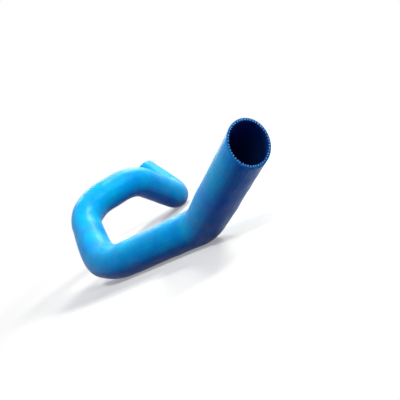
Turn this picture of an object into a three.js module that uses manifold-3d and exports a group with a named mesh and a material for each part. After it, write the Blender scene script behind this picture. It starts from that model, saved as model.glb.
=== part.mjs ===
// Moulded radiator hose: one plain tube of reinforced silicone with five bends.
// Millimetres, +Z up. The hose lies at rest on z = 0, with its long way along Y
// and its wide slanted mouth towards -Y.
import * as THREE from 'three';
import * as BufferGeometryUtils from 'three/addons/utils/BufferGeometryUtils.js';
import Module from 'manifold-3d';

// Section of the tube
const BORE = 45;
const WALL = 3.25;
const OUTER = BORE + 2 * WALL;

// Bend table: where the straight legs of the centreline would cross, and the
// radius that rounds each crossing. The second leg lies along the floor.
const LYING = OUTER / 2;
const NEAR_MOUTH = [94, -338, 98];
const FLOOR_BEND = { corner: [34, -174.5, LYING], radius: 69 };
const LOW_BEND = { corner: [-102.5, 0, LYING], radius: 110 };
const RISING_BEND = { corner: [-76.5, 130, 110], radius: 72 };
const ARCH_BEND = { corner: [30.5, 157.5, 102.5], radius: 71 };
const RETURN_BEND = { corner: [104, 257, 5.2], radius: 39.5 };
const FAR_MOUTH = [76.5, 324, 91];
const BENDS = [FLOOR_BEND, LOW_BEND, RISING_BEND, ARCH_BEND, RETURN_BEND];

// The near mouth is trimmed on a slant: the cut plane is square to this line
const CUT_FACING = [0.242, -0.967, 0.0735];
const TRIM_ALLOWANCE = 15;

// Fineness of the facets
const SIDES = 48;
const BEND_STEP = THREE.MathUtils.degToRad(9);

const SILICONE = { color: 0x0078d7, roughness: 0.42, metalness: 0 };

const wasm = await Module();
wasm.setup();

// The centreline: straight legs joined by arcs, as a list of stations. The legs
// need none between their ends, and each arc has one every few degrees.
class HoseRoute extends THREE.Curve {
  constructor(start, bends, end) {
    super();
    const corners = [start, ...bends.map((bend) => bend.corner), end];
    const points = corners.map((corner) => new THREE.Vector3(...corner));
    this.stations = [];
    const first = points[1].clone().sub(points[0]).normalize();
    this.addStation(points[0].clone().addScaledVector(first, -TRIM_ALLOWANCE), first);
    bends.forEach((bend, i) => this.addBend(points[i], points[i + 1], points[i + 2], bend.radius));
    const last = points.at(-1).clone().sub(points.at(-2)).normalize();
    this.addStation(points.at(-1), last);
  }

  addStation(point, tangent) {
    this.stations.push({ point: point.clone(), tangent: tangent.clone() });
  }

  addBend(before, corner, after, radius) {
    const into = corner.clone().sub(before).normalize();
    const outOf = after.clone().sub(corner).normalize();
    const turn = into.angleTo(outOf);
    const axis = into.clone().cross(outOf).normalize();
    const inward = axis.clone().cross(into);
    const centre = corner
      .clone()
      .addScaledVector(into, -radius * Math.tan(turn / 2))
      .addScaledVector(inward, radius);
    const steps = Math.ceil(turn / BEND_STEP);
    for (let i = 0; i <= steps; i += 1) {
      const angle = (turn * i) / steps;
      const spoke = inward.clone().multiplyScalar(-radius).applyAxisAngle(axis, angle);
      this.addStation(centre.clone().add(spoke), into.clone().applyAxisAngle(axis, angle));
    }
  }

  station(u) {
    return this.stations[Math.round(u * (this.stations.length - 1))];
  }

  getPointAt(u, target = new THREE.Vector3()) {
    return target.copy(this.station(u).point);
  }

  getTangentAt(u, target = new THREE.Vector3()) {
    return target.copy(this.station(u).tangent);
  }
}

// The wall's section: a ring between the cover and the bore
function wallSection() {
  const ring = new THREE.Shape().absarc(0, 0, OUTER / 2, 0, 2 * Math.PI);
  ring.holes.push(new THREE.Path().absarc(0, 0, BORE / 2, 0, 2 * Math.PI));
  return ring;
}

function asSolid(geometry) {
  const bare = geometry.clone();
  bare.deleteAttribute('normal');
  bare.deleteAttribute('uv');
  const merged = BufferGeometryUtils.mergeVertices(bare);
  const vertProperties = new Float32Array(merged.attributes.position.array);
  const triVerts = new Uint32Array(merged.index.array);
  return new wasm.Manifold(new wasm.Mesh({ numProp: 3, vertProperties, triVerts }));
}

function asGeometry(solid) {
  const { vertProperties, triVerts } = solid.getMesh();
  const geometry = new THREE.BufferGeometry();
  geometry.setAttribute('position', new THREE.BufferAttribute(vertProperties, 3));
  geometry.setIndex(new THREE.BufferAttribute(triVerts, 1));
  geometry.computeVertexNormals();
  return geometry;
}

// What the trimming knife takes off the near mouth: a block that stands on the
// slanted cut plane and reaches past the end of the moulded tube
function trimmedOff() {
  const side = 3 * OUTER;
  const block = new THREE.BoxGeometry(side, side, side);
  block.translate(0, 0, side / 2);
  const facing = new THREE.Vector3(...CUT_FACING).normalize();
  const turn = new THREE.Quaternion().setFromUnitVectors(new THREE.Vector3(0, 0, 1), facing);
  block.applyQuaternion(turn);
  block.translate(...NEAR_MOUTH);
  return block;
}

// The moulded tube, open from mouth to mouth
function radiatorHose() {
  const route = new HoseRoute(NEAR_MOUTH, BENDS, FAR_MOUTH);
  const moulded = new THREE.ExtrudeGeometry(wallSection(), {
    steps: route.stations.length - 1,
    curveSegments: SIDES / 2,
    extrudePath: route,
  });
  const geometry = asGeometry(asSolid(moulded).subtract(asSolid(trimmedOff())));
  const hose = new THREE.Mesh(geometry, new THREE.MeshStandardMaterial(SILICONE));
  hose.name = 'radiator_hose';
  return hose;
}

// The part sits centred over the origin with its lowest line on the floor
function standOnFloor(piece) {
  piece.geometry.computeBoundingBox();
  const { min, max } = piece.geometry.boundingBox;
  piece.position.set(-(min.x + max.x) / 2, -(min.y + max.y) / 2, -min.z);
  return piece;
}

const part = new THREE.Group();
part.add(standOnFloor(radiatorHose()));

export default part;
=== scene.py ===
import math

import bpy
import numpy as np
from mathutils import Matrix, Vector


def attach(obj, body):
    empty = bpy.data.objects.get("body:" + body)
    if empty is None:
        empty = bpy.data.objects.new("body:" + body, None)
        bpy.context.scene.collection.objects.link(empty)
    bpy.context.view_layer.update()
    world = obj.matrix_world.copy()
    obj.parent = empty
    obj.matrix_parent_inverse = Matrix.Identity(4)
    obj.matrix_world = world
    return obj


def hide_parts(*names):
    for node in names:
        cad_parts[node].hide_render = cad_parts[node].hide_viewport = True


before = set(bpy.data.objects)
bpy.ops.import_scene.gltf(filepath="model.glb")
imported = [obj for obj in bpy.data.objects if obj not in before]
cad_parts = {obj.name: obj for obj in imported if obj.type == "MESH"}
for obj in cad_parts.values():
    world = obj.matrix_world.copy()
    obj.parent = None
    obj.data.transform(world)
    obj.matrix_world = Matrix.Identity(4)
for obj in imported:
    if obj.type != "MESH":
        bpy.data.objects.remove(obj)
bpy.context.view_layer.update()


# Route of the hose
# The real hose is laid up on a bent steel mandrel and cured there, so it keeps straight legs
# joined by arcs. Its drawing is a bend table: where the legs would cross, and the radius there.
BORE_RADIUS = 0.0225
WALL = 0.00325
COVER_RADIUS = BORE_RADIUS + WALL
NEAR_MOUTH = (0.094, -0.338, 0.098)
FLOOR_BEND = ((0.034, -0.1745, COVER_RADIUS), 0.069)
LOW_BEND = ((-0.1025, 0.0, COVER_RADIUS), 0.110)
RISING_BEND = ((-0.0765, 0.130, 0.110), 0.072)
ARCH_BEND = ((0.0305, 0.1575, 0.1025), 0.071)
RETURN_BEND = ((0.104, 0.257, 0.0052), 0.0395)
FAR_MOUTH = (0.0765, 0.324, 0.091)
BENDS = (FLOOR_BEND, LOW_BEND, RISING_BEND, ARCH_BEND, RETURN_BEND)
LEG_STEP = 0.0025
ARC_STEP = math.radians(2.5)


def unit(vectors):
    """Each vector divided by its length."""
    return vectors / np.linalg.norm(vectors, axis=-1, keepdims=True)


def leg(start, end):
    """Points start + t (end - start) for t from 0 up to 1, with the same direction at each."""
    steps = max(1, round(np.linalg.norm(end - start) / LEG_STEP))
    t = np.arange(steps)[:, None] / steps
    return start + t * (end - start), np.repeat(unit(end - start)[None], steps, axis=0)


def arc(before, corner, after, radius):
    """Points centre - radius (inward cos a - into sin a) for a from 0 to the turn of the bend,
    which meet both legs at radius tan(turn / 2) from the corner."""
    into, out_of = unit(corner - before), unit(after - corner)
    turn = math.acos(into @ out_of)
    inward = unit(out_of - into * (into @ out_of))
    centre = corner - into * radius * math.tan(turn / 2) + inward * radius
    a = np.linspace(0, turn, math.ceil(turn / ARC_STEP) + 1)[:, None]
    points = centre - radius * (inward * np.cos(a) - into * np.sin(a))
    return points, into * np.cos(a) + inward * np.sin(a)


def route(start, bends, end):
    """Centreline points and directions: each leg runs from the last arc's end to the next arc."""
    corners = [np.array(start), *(np.array(corner) for corner, _ in bends), np.array(end)]
    arcs = [arc(*corners[i:i + 3], radius) for i, (_, radius) in enumerate(bends)]
    points, directions = [], []
    reached = corners[0]
    for bend_points, bend_directions in arcs:
        leg_points, leg_directions = leg(reached, bend_points[0])
        points += [leg_points, bend_points[:-1]]
        directions += [leg_directions, bend_directions[:-1]]
        reached = bend_points[-1]
    last_points, last_directions = leg(reached, corners[-1])
    points += [last_points, corners[-1][None]]
    directions += [last_directions, last_directions[-1:]]
    return np.vstack(points), np.vstack(directions)


def carried_normals(directions):
    """One sideways direction per station, carried along: the last one less its part along the
    new direction, so that the section doesn't spin as the tube bends."""
    side = unit(np.cross(directions[0], (0.0, 0.0, 1.0)))
    sides = []
    for direction in directions:
        side = unit(side - direction * (side @ direction))
        sides.append(side)
    return np.array(sides)


line, ahead = route(NEAR_MOUTH, BENDS, FAR_MOUTH)
side = carried_normals(ahead)
over = np.cross(ahead, side)
run = np.concatenate([[0.0], np.cumsum(np.linalg.norm(np.diff(line, axis=0), axis=1))])


# Wall of the hose
# Plies of knitted fabric in blue silicone rubber, wrapped tight in cloth tape while they cure.
# It is one closed skin: cover, cut edges and bore. The near end is trimmed on a slant by knife.
CUT_FACING = unit(np.array((0.242, -0.967, 0.0735)))
AROUND = 144
BORE_STRIDE = 3
SLANT_REACH = 0.060
COVER_MARGIN = 2
CUT_EDGE_ROUND = 0.00035
INNER_EDGE_ROUND = 0.00055
COVER_PLY = 0.00145
SEAM_STEP = 0.00002
EDGE_TURNS = np.radians((0, 30, 60, 90))
RIPPLE = 0.00010
ENDS_FADE = 0.02

# Each slow wave of the plies: its rate along the hose, its turns round it, its start and its share
RIPPLE_WAVES = (
    (92, 2, 0.0, 1.0),
    (151, -3, 1.3, 1.0),
    (233, 1, 4.0, 0.6),
)

# Where the plies lie fuller or tighter: the place along the hose, the spread and the height
FULLER_PLACES = (
    (0.130, 0.035, 0.0009),
    (0.250, 0.050, -0.0008),
    (0.505, 0.020, -0.0016),
    (0.600, 0.045, 0.0011),
)
HEEL_PLACE = 0.416
HEEL_SPREAD = 0.018
HEEL_HEIGHT = 0.0038
HEEL_WAY = unit(np.array((-0.866, 0.084, -0.486)))
# The third zone, the bore and the inner part of each cut face, takes deep navy rubber: painted
# shade down the bore.
COVER, KNIFE_CUT, DARK_INNER = 0, 1, 2


def ripple(along, angle):
    """Height of the uneven plies: the sum of share sin(rate along + turns angle + start) over the
    waves, times the ripple's height."""
    waves = [
        share * np.sin(rate * along + turns * angle + start)
        for rate, turns, start, share in RIPPLE_WAVES
    ]
    return RIPPLE * sum(waves)


def spokes(station, angle):
    """Direction from the centreline to each ring point: side cos angle + over sin angle."""
    sideways = side[station][:, None] * np.cos(angle)[:, None]
    upwards = over[station][:, None] * np.sin(angle)[:, None]
    return sideways + upwards


def fullness(along, spoke):
    """Extra radius where the plies lie fuller or tighter: a sum of bell curves along the hose,
    height exp(-((along - place) / spread)^2 / 2), and a last one on the heel of the low bend,
    times the fourth power of the cosine between the spoke and the heel's way."""
    even = sum(
        height * np.exp(-((along - place) / spread) ** 2 / 2)
        for place, spread, height in FULLER_PLACES
    )
    heel = HEEL_HEIGHT * np.exp(-((along - HEEL_PLACE) / HEEL_SPREAD) ** 2 / 2)
    return even[:, None] + heel[:, None] * np.clip(spoke @ HEEL_WAY, 0, 1) ** 4


def ring_points(station, radius, inset, slant, angle):
    """Ring point = centre + radius spoke + ahead (inset + shear), where the shear lays a mouth
    ring on the slanted cut plane and fades along the leg."""
    spoke = spokes(station, angle)
    shear = -(spoke @ CUT_FACING) / (ahead[0] @ CUT_FACING) * radius * slant[:, None]
    along = inset[:, None] + shear
    round_tube = line[station][:, None] + radius[..., None] * spoke
    return round_tube + ahead[station][:, None] * along[..., None]


def cut_edge(station, into):
    """Rings across a cut end, from the cover to the bore: a small round, the flat, a small round.
    Returns their stations, radii, insets and zones: the flat ply is knife-cut, the rest deep navy."""
    outer = COVER_RADIUS - CUT_EDGE_ROUND * (1 - np.cos(EDGE_TURNS))
    outer_inset = CUT_EDGE_ROUND * (1 - np.sin(EDGE_TURNS))
    seam = COVER_RADIUS - COVER_PLY
    flat = np.array((seam, seam - SEAM_STEP, (seam + BORE_RADIUS) / 2))
    inner = BORE_RADIUS + INNER_EDGE_ROUND * (1 - np.sin(EDGE_TURNS))
    inner_inset = INNER_EDGE_ROUND * (1 - np.cos(EDGE_TURNS))
    radius = np.concatenate([outer, flat, inner])
    inset = np.concatenate([outer_inset, np.zeros(len(flat)), inner_inset]) * into
    zone = np.where(radius < seam, DARK_INNER, KNIFE_CUT)
    return np.full(len(radius), station), radius, inset, zone


def even_rings(stations, radius, zone):
    """Stations, radii, insets and zones of rings of one radius that stand at their stations."""
    count = len(stations)
    return stations, np.full(count, radius), np.zeros(count), np.full(count, zone)


def wall_rings():
    """All rings of the skin in order: cover from near to far, far edge, bore back, near edge."""
    stations = len(line)
    cover = np.arange(COVER_MARGIN, stations - COVER_MARGIN)
    bore = np.arange(BORE_STRIDE, stations - BORE_STRIDE, BORE_STRIDE)[::-1]
    far = cut_edge(stations - 1, -1)
    near = [column[::-1] for column in cut_edge(0, 1)]
    columns = [
        even_rings(cover, COVER_RADIUS, COVER),
        far,
        even_rings(bore, BORE_RADIUS, DARK_INNER),
        near,
    ]
    return [np.concatenate(parts) for parts in zip(*columns)]


def closed_grid_faces(rings, columns):
    """Quads of a grid that closes on itself both ways, wound so that its normals point out."""
    ring = np.arange(rings)[:, None]
    column = np.arange(columns)[None]
    here = ring * columns + column
    beside = ring * columns + (column + 1) % columns
    next_ring = (ring + 1) % rings
    above = next_ring * columns + column
    across = next_ring * columns + (column + 1) % columns
    return np.stack([here, beside, across, above], axis=-1).reshape(-1, 4)


def make_mesh(name, points, faces):
    """A smooth-shaded object from an array of points and an array of faces."""
    mesh = bpy.data.meshes.new(name)
    mesh.from_pydata(points.reshape(-1, 3).tolist(), [], faces.tolist())
    mesh.polygons.foreach_set("use_smooth", np.ones(len(faces), bool))
    mesh.update()
    made = bpy.data.objects.new(name, mesh)
    bpy.context.scene.collection.objects.link(made)
    return made


def lay_skin_map(mesh, along, around):
    """UV map in metres: u is the distance along the hose, v the distance round its cover. The
    last column of faces gets a full turn, not zero, so that the pattern doesn't run back."""
    corners = np.empty(len(mesh.loops), np.int32)
    mesh.loops.foreach_get("vertex_index", corners)
    column = corners % AROUND
    quads = column.reshape(-1, 4)
    wraps = (quads.max(axis=1) - quads.min(axis=1)) > AROUND / 2
    turned = np.where(wraps[:, None] & (quads == 0), AROUND, quads).ravel()
    uv = np.stack([along[corners // AROUND], turned * around / AROUND], axis=-1)
    layer = mesh.uv_layers.new(name="skin")
    layer.data.foreach_set("uv", uv.astype(np.float32).ravel())


station, radius, inset, zone = wall_rings()
slant = np.clip(1 - run[station] / SLANT_REACH, 0, 1)
angle = np.arange(AROUND) * 2 * math.pi / AROUND
bare_radius = np.repeat(radius[:, None], AROUND, axis=1)
bare_points = ring_points(station, bare_radius, inset, slant, angle)
from_end = np.minimum(run[station], run[-1] - run[station])
ends_fade = np.clip(from_end / ENDS_FADE, 0, 1)[:, None]
uneven = fullness(run[station], spokes(station, angle))
on_cover = radius == COVER_RADIUS
uneven[on_cover] += ripple(run[station][on_cover, None], angle[None])
points = ring_points(station, bare_radius + uneven * ends_fade, inset, slant, angle)

# The bare shape stands centred over the origin, and the finished one's lowest point is on the floor
low = bare_points.reshape(-1, 3).min(axis=0)
high = bare_points.reshape(-1, 3).max(axis=0)
placed = np.array((-(low[0] + high[0]) / 2, -(low[1] + high[1]) / 2, -points[..., 2].min()))

hose = make_mesh("hose_wall", points + placed, closed_grid_faces(len(station), AROUND))
lay_skin_map(hose.data, run[station], 2 * math.pi * COVER_RADIUS)
face_zone = np.repeat(np.minimum(zone, np.roll(zone, -1)), AROUND)
hose.data.polygons.foreach_set("material_index", face_zone.astype(np.int32))
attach(hose, "root")
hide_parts("radiator_hose")


def linear(hex_colour):
    """A colour written as sRGB hex, as the shader's linear values."""
    channels = np.array([int(hex_colour[i:i + 2], 16) for i in (1, 3, 5)]) / 255
    flat = np.where(channels <= 0.04045, channels / 12.92, ((channels + 0.055) / 1.055) ** 2.4)
    return (*flat.tolist(), 1.0)


def add(tree, kind, inputs=None, **settings):
    """One node: its settings as attributes, its inputs as values or as sockets to link from."""
    node = tree.nodes.new(kind)
    for name, value in settings.items():
        setattr(node, name, value)
    for name, value in (inputs or {}).items():
        if isinstance(value, bpy.types.NodeSocket):
            tree.links.new(value, node.inputs[name])
        else:
            node.inputs[name].default_value = value
    return node


def new_material(name):
    """An empty node material and its output node."""
    material = bpy.data.materials.new(name)
    material.use_nodes = True
    material.node_tree.nodes.clear()
    return material, material.node_tree, material.node_tree.nodes.new("ShaderNodeOutputMaterial")


def cloth_cured_silicone():
    """Pigmented silicone rubber cured under cloth tape: satin, saturated, a little waxy, uneven
    over the plies, with the tape's faint weave across the hose and streaks along it. The weave and
    the grain are drawn coarser than the real ones, so that they show."""
    cloud_size = 0.0385
    ply_size = 0.0143
    patch_size = 0.0294
    weave_pitch = 0.0024
    waves_at_scale_one = 3.18
    streak_length = 0.0714
    streak_width = 0.00238
    grain_size = 0.00111

    material, tree, out = new_material("cloth_cured_silicone")
    skin = add(tree, "ShaderNodeUVMap", uv_map="skin").outputs["UV"]
    place = add(tree, "ShaderNodeTexCoord").outputs["Object"]
    drift = add(tree, "ShaderNodeTexNoise", {
        "Vector": place,
        "Scale": 1 / cloud_size,
        "Detail": 5.0,
    })
    clouds = add(tree, "ShaderNodeMapRange", {
        "Value": drift.outputs["Fac"],
        "From Min": 0.28,
        "From Max": 0.72,
    })
    pigment = add(tree, "ShaderNodeMix", {
        "Factor": clouds.outputs["Result"],
        "A": linear("#0086E8"),
        "B": linear("#08ACEE"),
    }, data_type="RGBA")

    weave = add(tree, "ShaderNodeTexWave", {
        "Vector": skin,
        "Scale": 1 / weave_pitch / waves_at_scale_one,
        "Distortion": 0.6,
        "Detail": 2.0,
        "Detail Scale": 1.5,
    }, bands_direction="X")
    print_patches = add(tree, "ShaderNodeTexNoise", {
        "Vector": place,
        "Scale": 1 / patch_size,
        "Detail": 2.0,
    })
    printed = add(tree, "ShaderNodeMapRange", {
        "Value": print_patches.outputs["Fac"],
        "From Min": 0.46,
        "From Max": 0.66,
    })
    weave_height = add(tree, "ShaderNodeMath", {
        0: weave.outputs["Fac"],
        1: printed.outputs["Result"],
    }, operation="MULTIPLY")

    drawn_out = add(tree, "ShaderNodeMapping", {
        "Vector": skin,
        "Scale": (1 / streak_length, 1 / streak_width, 1.0),
    })
    streaks = add(tree, "ShaderNodeTexNoise", {
        "Vector": drawn_out.outputs["Vector"],
        "Scale": 1.0,
        "Detail": 3.0,
    })
    grain = add(tree, "ShaderNodeTexNoise", {
        "Vector": place,
        "Scale": 1 / grain_size,
        "Detail": 2.0,
    })
    plies = add(tree, "ShaderNodeTexNoise", {
        "Vector": place,
        "Scale": 1 / ply_size,
        "Detail": 3.0,
    })

    ply_bump = add(tree, "ShaderNodeBump", {
        "Height": plies.outputs["Fac"],
        "Strength": 0.6,
        "Distance": 0.0007,
    })
    weave_bump = add(tree, "ShaderNodeBump", {
        "Height": weave_height.outputs["Value"],
        "Strength": 0.9,
        "Distance": 0.0004,
        "Normal": ply_bump.outputs["Normal"],
    })
    streak_bump = add(tree, "ShaderNodeBump", {
        "Height": streaks.outputs["Fac"],
        "Strength": 0.6,
        "Distance": 0.0007,
        "Normal": weave_bump.outputs["Normal"],
    })
    grain_bump = add(tree, "ShaderNodeBump", {
        "Height": grain.outputs["Fac"],
        "Strength": 0.3,
        "Distance": 0.0001,
        "Normal": streak_bump.outputs["Normal"],
    })
    gloss = add(tree, "ShaderNodeMapRange", {
        "Value": streaks.outputs["Fac"],
        "To Min": 0.29,
        "To Max": 0.38,
    })
    rubber = add(tree, "ShaderNodeBsdfPrincipled", {
        "Base Color": pigment.outputs["Result"],
        "Roughness": gloss.outputs["Result"],
        "IOR": 1.41,
        "Specular IOR Level": 0.17,
        "Specular Tint": linear("#88E0FF"),
        "Normal": grain_bump.outputs["Normal"],
    })
    tree.links.new(rubber.outputs["BSDF"], out.inputs["Surface"])
    return material


def knife_cut_silicone():
    """The same silicone where a knife went through it: matt and deeper blue, with drag marks that
    are drawn coarser than they are, so that they show."""
    drag_size = 0.00143

    material, tree, out = new_material("knife_cut_silicone")
    place = add(tree, "ShaderNodeTexCoord").outputs["Object"]
    drag = add(tree, "ShaderNodeTexNoise", {
        "Vector": place,
        "Scale": 1 / drag_size,
        "Detail": 3.0,
    })
    tone = add(tree, "ShaderNodeMix", {
        "Factor": drag.outputs["Fac"],
        "A": linear("#0058A8"),
        "B": linear("#0470C8"),
    }, data_type="RGBA")
    marks = add(tree, "ShaderNodeBump", {
        "Height": drag.outputs["Fac"],
        "Strength": 0.3,
        "Distance": 0.0001,
    })
    rubber = add(tree, "ShaderNodeBsdfPrincipled", {
        "Base Color": tone.outputs["Result"],
        "Roughness": 0.7,
        "Specular IOR Level": 0.1,
        "Normal": marks.outputs["Normal"],
    })
    tree.links.new(rubber.outputs["BSDF"], out.inputs["Surface"])
    return material


def navy_inner_rubber_painted_shade():
    """Rubber of the bore and of the inner part of each cut face: deep navy, matt, with a faint
    cloudy bloom. Down the bore the deep navy is painted shade, for the dark inside the tube.
    """
    bloom_size = 0.0167

    material, tree, out = new_material("navy_inner_rubber_painted_shade")
    place = add(tree, "ShaderNodeTexCoord").outputs["Object"]
    bloom = add(tree, "ShaderNodeTexNoise", {
        "Vector": place,
        "Scale": 1 / bloom_size,
        "Detail": 3.0,
    })
    # Painted shade: the deep navy stands for the shade down the bore.
    tone = add(tree, "ShaderNodeMix", {
        "Factor": bloom.outputs["Fac"],
        "A": linear("#08285E"),
        "B": linear("#0C3680"),
    }, data_type="RGBA")
    rubber = add(tree, "ShaderNodeBsdfPrincipled", {
        "Base Color": tone.outputs["Result"],
        "Roughness": 0.55,
        "Specular IOR Level": 0.08,
    })
    tree.links.new(rubber.outputs["BSDF"], out.inputs["Surface"])
    return material


for finish in (cloth_cured_silicone(), knife_cut_silicone(), navy_inner_rubber_painted_shade()):
    hose.data.materials.append(finish)


# Yarn ends in the cut edges
# The knitted reinforcement is cut with the wall, and the cut ends of its yarn stand out as a
# ring of pale tufts between the blue cover and the deep navy inner rubber, one every 3 mm or so.
YARN_COUNT = 48
YARN_UNDER_PLY = 0.00065
YARN_RING = COVER_RADIUS - COVER_PLY - YARN_UNDER_PLY
TUFT_ACROSS = 0.00072
TUFT_DEEP = 0.00082
TUFT_PROUD = 0.00060
TUFT_COLUMNS = 8
TUFT_ROWS = 4
PLACE_CHANCE = 0.14
LEAST_SIZE = 0.86
MOST_SIZE = 1.12


def tuft_points(centre, across, outward, facing, scale):
    """Ellipsoid point = centre + across cos a sin b + outward sin a sin b + facing cos b, each
    axis times its half-size, with one point at each pole."""
    a = np.arange(TUFT_COLUMNS) * 2 * math.pi / TUFT_COLUMNS
    b = np.arange(1, TUFT_ROWS) * math.pi / TUFT_ROWS
    weights = np.stack([
        TUFT_ACROSS * np.outer(np.sin(b), np.cos(a)).ravel(),
        TUFT_DEEP * np.outer(np.sin(b), np.sin(a)).ravel(),
        TUFT_PROUD * np.outer(np.cos(b), np.ones(TUFT_COLUMNS)).ravel(),
    ], axis=-1)
    poles = np.array(((0, 0, TUFT_PROUD), (0, 0, -TUFT_PROUD)))
    weights = np.vstack([weights, poles])
    axes = np.stack([across, outward, facing], axis=1)
    return centre[:, None] + scale[:, None, None] * np.einsum("pw,kwx->kpx", weights, axes)


def tuft_faces():
    """Triangles of one ellipsoid: a cap at each pole and split quads between the rows."""
    column = np.arange(TUFT_COLUMNS)
    beside = (column + 1) % TUFT_COLUMNS
    body = (TUFT_ROWS - 1) * TUFT_COLUMNS
    front, rear = body, body + 1
    last = body - TUFT_COLUMNS
    caps = [
        np.stack([column, beside, np.full(TUFT_COLUMNS, front)], axis=-1),
        np.stack([last + beside, last + column, np.full(TUFT_COLUMNS, rear)], axis=-1),
    ]
    row = (np.arange(TUFT_ROWS - 2) * TUFT_COLUMNS)[:, None]
    low_left, low_right = row + column, row + beside
    high_left, high_right = low_left + TUFT_COLUMNS, low_right + TUFT_COLUMNS
    belt = [
        np.stack([low_left, high_left, high_right], axis=-1).reshape(-1, 3),
        np.stack([low_left, high_right, low_right], axis=-1).reshape(-1, 3),
    ]
    return np.vstack(caps + belt)


def yarn_ring(name, station, facing, seed):
    """Tufts spread evenly round one cut face, each a little off its place and size. Tuft centre =
    station + ring radius (spoke + slope ahead), with the slope that keeps it in the cut face."""
    chance = np.random.default_rng(seed)
    place = np.arange(YARN_COUNT) + chance.uniform(-PLACE_CHANCE, PLACE_CHANCE, YARN_COUNT)
    turn = place * 2 * math.pi / YARN_COUNT
    spoke = np.outer(np.cos(turn), side[station]) + np.outer(np.sin(turn), over[station])
    slope = -(spoke @ facing) / (ahead[station] @ facing)
    outward = spoke + slope[:, None] * ahead[station]
    centre = line[station] + placed + YARN_RING * outward
    outward = unit(outward)
    facings = np.repeat(facing[None], YARN_COUNT, axis=0)
    across = np.cross(outward, facings)
    scale = chance.uniform(LEAST_SIZE, MOST_SIZE, YARN_COUNT)
    points = tuft_points(centre, across, outward, facings, scale)
    one = tuft_faces()
    first_point = np.arange(YARN_COUNT) * points.shape[1]
    faces = (one[None] + first_point[:, None, None]).reshape(-1, 3)
    return make_mesh(name, points, faces)


def cut_polyester_yarn():
    """Cut ends of polyester yarn soaked with blue silicone: pale, matt and fibrous. The fibres are
    drawn coarser than they are, so that they show."""
    fibre_size = 0.000714

    material, tree, out = new_material("cut_polyester_yarn")
    place = add(tree, "ShaderNodeTexCoord").outputs["Object"]
    fibres = add(tree, "ShaderNodeTexNoise", {
        "Vector": place,
        "Scale": 1 / fibre_size,
        "Detail": 2.0,
    })
    tone = add(tree, "ShaderNodeMix", {
        "Factor": fibres.outputs["Fac"],
        "A": linear("#2A80DC"),
        "B": linear("#86C6FC"),
    }, data_type="RGBA")
    yarn = add(tree, "ShaderNodeBsdfPrincipled", {
        "Base Color": tone.outputs["Result"],
        "Roughness": 0.75,
        "Specular IOR Level": 0.3,
    })
    tree.links.new(yarn.outputs["BSDF"], out.inputs["Surface"])
    return material


yarn_finish = cut_polyester_yarn()
near_yarn = yarn_ring("near_yarn_ends", 0, CUT_FACING, seed=3)
far_yarn = yarn_ring("far_yarn_ends", len(line) - 1, ahead[-1], seed=8)
for tufts in (near_yarn, far_yarn):
    tufts.data.materials.append(yarn_finish)
    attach(tufts, "root")


# Camera
# It looks along the hose from just above the floor, past the near mouth, and is rolled so that
# the hose stands in the picture as it was shown.
CAMERA_PLACE = Vector((-0.09979, -0.97219, 0.17677))
CAMERA_AIM = Vector((0.08039, 0.0, 0.02518))
CAMERA_ROLL = math.radians(-33.63)
FOCAL_LENGTH = 57.6
SENSOR = 36.0
FRAME_SHIFT = (-0.00175, 0.0015)

camera_data = bpy.data.cameras.new("camera")
camera_data.lens = FOCAL_LENGTH
camera_data.sensor_width = SENSOR
camera_data.shift_x, camera_data.shift_y = FRAME_SHIFT
camera = bpy.data.objects.new("camera", camera_data)
bpy.context.scene.collection.objects.link(camera)
level = (CAMERA_AIM - CAMERA_PLACE).to_track_quat("-Z", "Y").to_matrix()
held = level @ Matrix.Rotation(CAMERA_ROLL, 3, "Z")
camera.matrix_world = Matrix.Translation(CAMERA_PLACE) @ held.to_4x4()
bpy.context.scene.camera = camera
bpy.context.scene.view_settings.view_transform = "Standard"
PICTURE_RIGHT, PICTURE_UP, TOWARDS_VIEWER = (held.col[i].copy() for i in range(3))


# Floor and light
# A white paper floor, small warm soft boxes above, behind, left of and before the hose, and a
# faint cool room that fills the shaded sides. Away from the hose the floor goes to plain white.
FLOOR_SIZE = 12.0
WHITE_FROM = 0.42
WHITE_BY = 0.70
SHADOW_LIFT = 0.3

half = FLOOR_SIZE / 2
floor_corners = np.array([
    (-half, -half, 0.0),
    (half, -half, 0.0),
    (half, half, 0.0),
    (-half, half, 0.0),
])
floor = make_mesh("floor", floor_corners, np.array([[0, 1, 2, 3]]))


def seen_rays(tree):
    """1 for a ray that is seen, straight, in a gloss or through glass, and 0 for one that only
    carries light: the most of the three ray kinds."""
    rays = add(tree, "ShaderNodeLightPath").outputs
    direct_or_gloss = add(tree, "ShaderNodeMath", {
        0: rays["Is Camera Ray"],
        1: rays["Is Glossy Ray"],
    }, operation="MAXIMUM")
    seen = add(tree, "ShaderNodeMath", {
        0: direct_or_gloss.outputs["Value"],
        1: rays["Is Transmission Ray"],
    }, operation="MAXIMUM")
    return seen.outputs["Value"]


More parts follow.
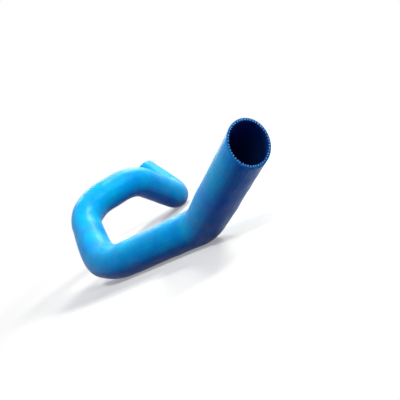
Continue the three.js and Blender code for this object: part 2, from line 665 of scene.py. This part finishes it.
def white_paper_floor():
    """Diffuse white paper that takes the shadow near the hose and is plain white further out. Light
    that bounces from it back to the hose meets a much darker, bluer paper."""
    material, tree, out = new_material("white_paper_floor")
    place = add(tree, "ShaderNodeTexCoord").outputs["Object"]
    distance = add(tree, "ShaderNodeVectorMath", {0: place}, operation="LENGTH")
    away = add(tree, "ShaderNodeMapRange", {
        "Value": distance.outputs["Value"],
        "From Min": WHITE_FROM,
        "From Max": WHITE_BY,
        "To Min": SHADOW_LIFT,
    }, interpolation_type="SMOOTHSTEP")
    bounce = add(tree, "ShaderNodeBsdfDiffuse", {"Color": linear("#182E5C")})
    paper = add(tree, "ShaderNodeBsdfDiffuse", {"Color": linear("#DADCEC")})
    plain = add(tree, "ShaderNodeEmission", {"Color": linear("#FFFFFF"), "Strength": 1.0})
    shown = add(tree, "ShaderNodeMixShader", {
        0: away.outputs["Result"],
        1: paper.outputs["BSDF"],
        2: plain.outputs["Emission"],
    })
    both = add(tree, "ShaderNodeMixShader", {
        0: seen_rays(tree),
        1: bounce.outputs["BSDF"],
        2: shown.outputs["Shader"],
    })
    tree.links.new(both.outputs["Shader"], out.inputs["Surface"])
    return material


floor.data.materials.append(white_paper_floor())

world = bpy.data.worlds.new("white_room")
bpy.context.scene.world = world
world.use_nodes = True
sky = world.node_tree
sky.nodes.clear()
room_light = add(sky, "ShaderNodeBackground", {"Color": linear("#2C60FF"), "Strength": 0.15})
room_white = add(sky, "ShaderNodeBackground", {"Color": linear("#FFFFFF"), "Strength": 1.0})
room = add(sky, "ShaderNodeMixShader", {
    0: seen_rays(sky),
    1: room_light.outputs["Background"],
    2: room_white.outputs["Background"],
})
add(sky, "ShaderNodeOutputWorld", {"Surface": room.outputs["Shader"]})

HOSE_MIDDLE = Vector((0.0, 0.0, 0.06))
BOX_DISTANCE = 1.35
BOX_LIGHT = linear("#FFFCDE")[:3]

# Each soft box: its name, its way from the hose, its width and height in metres, and its watts
SOFT_BOXES = (
    ("top_box", (0.40, 0.85, 0.35), 0.4, 0.2, 16),
    ("over_box", (-0.05, 0.90, -0.43), 0.5, 0.2, 12.5),
    ("left_box", (-0.60, 0.56, 0.57), 0.35, 0.35, 11),
    ("front_box", (0.05, 0.50, 0.86), 0.4, 0.4, 6),
    ("back_box", (-0.15, 0.60, -0.79), 1.4, 0.4, 10),
)


def soft_box(name, towards, width, height, power):
    """A rectangular lamp that faces the hose's middle, placed from there along a direction that is
    given as the picture's right, up and towards-viewer parts."""
    lamp = bpy.data.lights.new(name, "AREA")
    lamp.shape = "RECTANGLE"
    lamp.size, lamp.size_y = width, height
    lamp.energy = power
    lamp.color = BOX_LIGHT
    box = bpy.data.objects.new(name, lamp)
    bpy.context.scene.collection.objects.link(box)
    right, up, viewer = towards
    outward = (PICTURE_RIGHT * right + PICTURE_UP * up + TOWARDS_VIEWER * viewer).normalized()
    turn = (-outward).to_track_quat("-Z", "Y").to_matrix().to_4x4()
    box.matrix_world = Matrix.Translation(HOSE_MIDDLE + outward * BOX_DISTANCE) @ turn


for name, towards, width, height, power in SOFT_BOXES:
    soft_box(name, towards, width, height, power)
